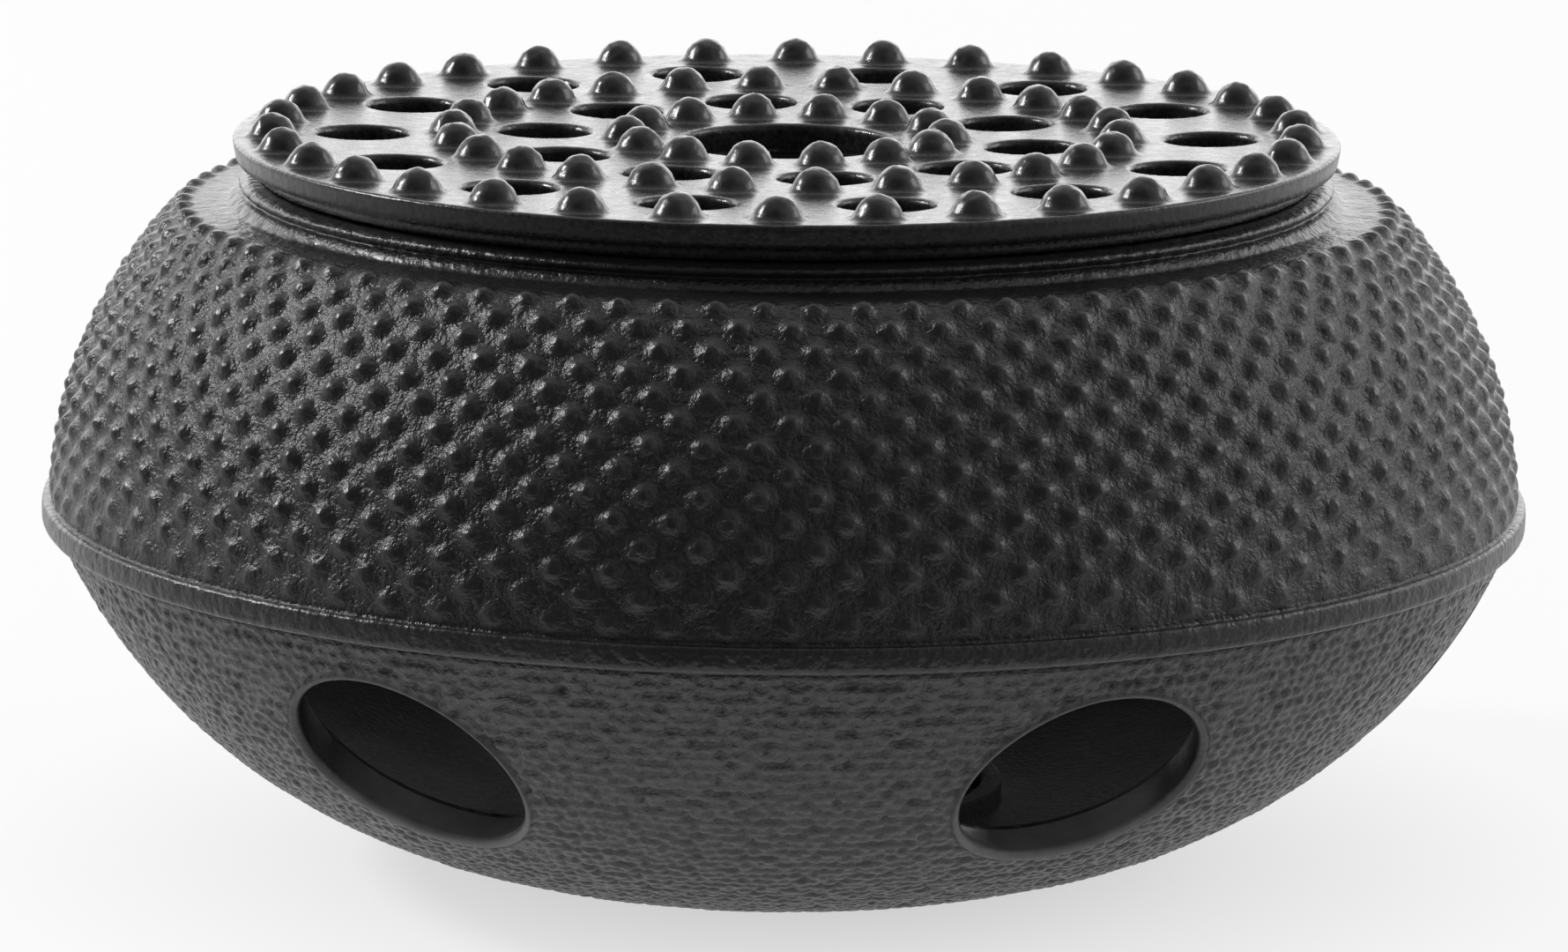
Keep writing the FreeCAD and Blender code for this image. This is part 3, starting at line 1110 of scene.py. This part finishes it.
def tinned_steel():
    s = Shader("tinned_steel")
    mottle = s.noise(1200, 3)
    s.surface.inputs["Metallic"].default_value = 1.0
    colour = s.ramp(mottle, (0.5, 0.5, 0.5), (0.66, 0.66, 0.65))
    return s.finish(colour, s.remap(mottle, 0.28, 0.5), s.bump(mottle, 0.01))


def place(mesh, node, body, slot, *materials):
    """One finished piece in place of its CAD node."""
    piece = bpy.data.objects.new(mesh.name, mesh)
    bpy.context.scene.collection.objects.link(piece)
    for material in materials:
        mesh.materials.append(material)
    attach(piece, body)
    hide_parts(node)


body_finishes = [iron_enamel("body_enamel", 0.27, 0.24), sooty_iron(), pebbled_enamel(), lip_enamel_painted_light()]
place(body_mesh(), "warmer_body", "warmer", "body_iron", *body_finishes)
place(plate_mesh(), "trivet_plate", "trivet", "plate_iron", iron_enamel("plate_enamel", 0.22, 0.05))
place(cup_mesh(), "tealight_cup", "tealight", "cup_aluminium", bright_aluminium())
place(wax_mesh(), "tealight_wax", "tealight", "wax", candle_wax())
place(wick_mesh(), "tealight_wick", "tealight", "wick_cotton", waxed_cotton())
place(sustainer_mesh(), "wick_sustainer", "tealight", "sustainer_steel", tinned_steel())


def seen_directly(nodes, links):
    """1 for what the camera, a gloss or a clear surface sees, and 0 for light on matt surfaces."""
    path = nodes.new("ShaderNodeLightPath")
    either = nodes.new("ShaderNodeMath")
    either.operation = "MAXIMUM"
    links.new(path.outputs["Is Camera Ray"], either.inputs[0])
    links.new(path.outputs["Is Glossy Ray"], either.inputs[1])
    any_of = nodes.new("ShaderNodeMath")
    any_of.operation = "MAXIMUM"
    links.new(either.outputs[0], any_of.inputs[0])
    links.new(path.outputs["Is Transmission Ray"], any_of.inputs[1])
    return any_of.outputs[0]


def white_world():
    world = bpy.data.worlds.new("studio")
    bpy.context.scene.world = world
    world.use_nodes = True
    nodes, links = world.node_tree.nodes, world.node_tree.links
    level = nodes.new("ShaderNodeMapRange")
    level.inputs["To Min"].default_value = surroundings_light
    level.inputs["To Max"].default_value = 1.0
    links.new(seen_directly(nodes, links), level.inputs["Value"])
    background = nodes["Background"]
    background.inputs["Color"].default_value = (1, 1, 1, 1)
    links.new(level.outputs["Result"], background.inputs["Strength"])


def pale_floor():
    """Matt floor that glows nearly white where it is seen directly, less under the object."""
    s = Shader("pale_floor")
    s.matt(0.9, 0.9)
    away = s.add("ShaderNodeVectorMath", operation="LENGTH")
    s.link(s.add("ShaderNodeTexCoord").outputs["Object"], away.inputs[0])
    away_value = away.outputs["Value"]
    whiteness = s.remap(away_value, floor_near_white, floor_far_white, floor_near, floor_far)
    share = s.add("ShaderNodeMath", operation="MULTIPLY")
    s.link(seen_directly(s.nodes, s.links), share.inputs[0])
    s.link(whiteness, share.inputs[1])
    glow = s.add("ShaderNodeEmission")
    return s.blend(share.outputs[0], s.surface.outputs[0], glow.outputs[0])


def white_floor():
    """Floor that shows nearly white and keeps the object's shadow."""
    mesh = bpy.data.meshes.new("floor")
    half = floor_half
    corners = [(-half, -half, 0), (half, -half, 0), (half, half, 0), (-half, half, 0)]
    mesh.from_pydata(corners, [], [(0, 1, 2, 3)])
    floor = bpy.data.objects.new("floor", mesh)
    bpy.context.scene.collection.objects.link(floor)
    mesh.materials.append(pale_floor())


def flag_cover(angle):
    """Share of the white surroundings that the flag hides, by the angle from its middle."""
    return flag_cover_most * (1 - smooth_step(math.radians(flag_full_within), math.radians(flag_edge), angle))


def flag_cloth():
    """Black cloth, see-through where the relief is low."""
    s = Shader("flag_cloth")
    s.matt(0, 1.0)
    clear = s.add("ShaderNodeBsdfTransparent")
    return s.blend(s.attribute("relief"), clear.outputs[0], s.surface.outputs[0])


def dark_flag():
    """Black studio cloth round the front, thinner towards its edges, which only reflections meet.

    One sheet curves over the front of the object, and one lies on the floor before it."""
    skin = Skin()
    turns = np.linspace(-math.pi, math.pi, 96, endpoint=False)
    angles = np.radians(np.linspace(0.1, flag_edge, 60))[:, None]
    ahead = np.cos(angles) + 0 * turns
    upwards = np.sin(angles) * np.sin(turns)
    sheet = np.stack([
        np.sin(angles) * np.cos(turns),
        upwards * math.sin(flag_tilt) - ahead * math.cos(flag_tilt),
        upwards * math.cos(flag_tilt) + ahead * math.sin(flag_tilt),
    ], -1)
    skin.join(skin.add(flag_distance * sheet, flag_cover(angles)))
    floor_sheet = [(radius, floor_flag_height) for radius in floor_flag_radii]
    strengths = np.array(floor_flag_strengths)[:, None]
    skin.join(skin.add(spin(floor_sheet, turns + floor_flag_turn), strengths * flag_cover(abs(turns))))
    mesh = skin.mesh("flag")
    mesh.materials.append(flag_cloth())
    flag = bpy.data.objects.new("flag", mesh)
    bpy.context.scene.collection.objects.link(flag)
    flag.rotation_euler.z = flag_turn
    flag.visible_camera = False
    flag.visible_diffuse = False
    flag.visible_shadow = False


def soft_box(name, position, size, power):
    data = bpy.data.lights.new(name, "AREA")
    data.shape = "RECTANGLE"
    data.size, data.size_y = size
    data.energy = power
    lamp = bpy.data.objects.new(name, data)
    lamp.location = position
    lamp.rotation_euler = (light_target - lamp.location).to_track_quat("-Z", "Y").to_euler()
    bpy.context.scene.collection.objects.link(lamp)


def photo_camera():
    """Camera at the place and angle from which the photo was taken."""
    distance, height = 0.7430, 0.1872
    pitch, roll = math.radians(11.442), math.radians(0.478)
    data = bpy.data.cameras.new("photo_camera")
    data.sensor_fit = "HORIZONTAL"
    data.sensor_width = 36.0
    data.lens = 176.86
    camera = bpy.data.objects.new("photo_camera", data)
    aim = Matrix.Rotation(math.pi / 2 - pitch, 4, "X") @ Matrix.Rotation(roll, 4, "Z")
    camera.matrix_world = Matrix.Translation((0, -distance, height)) @ aim
    bpy.context.scene.collection.objects.link(camera)
    bpy.context.scene.camera = camera


white_world()
white_floor()
dark_flag()
soft_box("key", (-1.0, 0.25, 0.7), (0.2, 0.24), 9)
soft_box("fill", (1.2, 0.3, 0.6), (0.6, 0.6), 3.4)
soft_box("back", (0.0, 1.5, 0.45), (2.6, 0.9), 11)
photo_camera()
bpy.context.scene.view_settings.view_transform = "Standard"
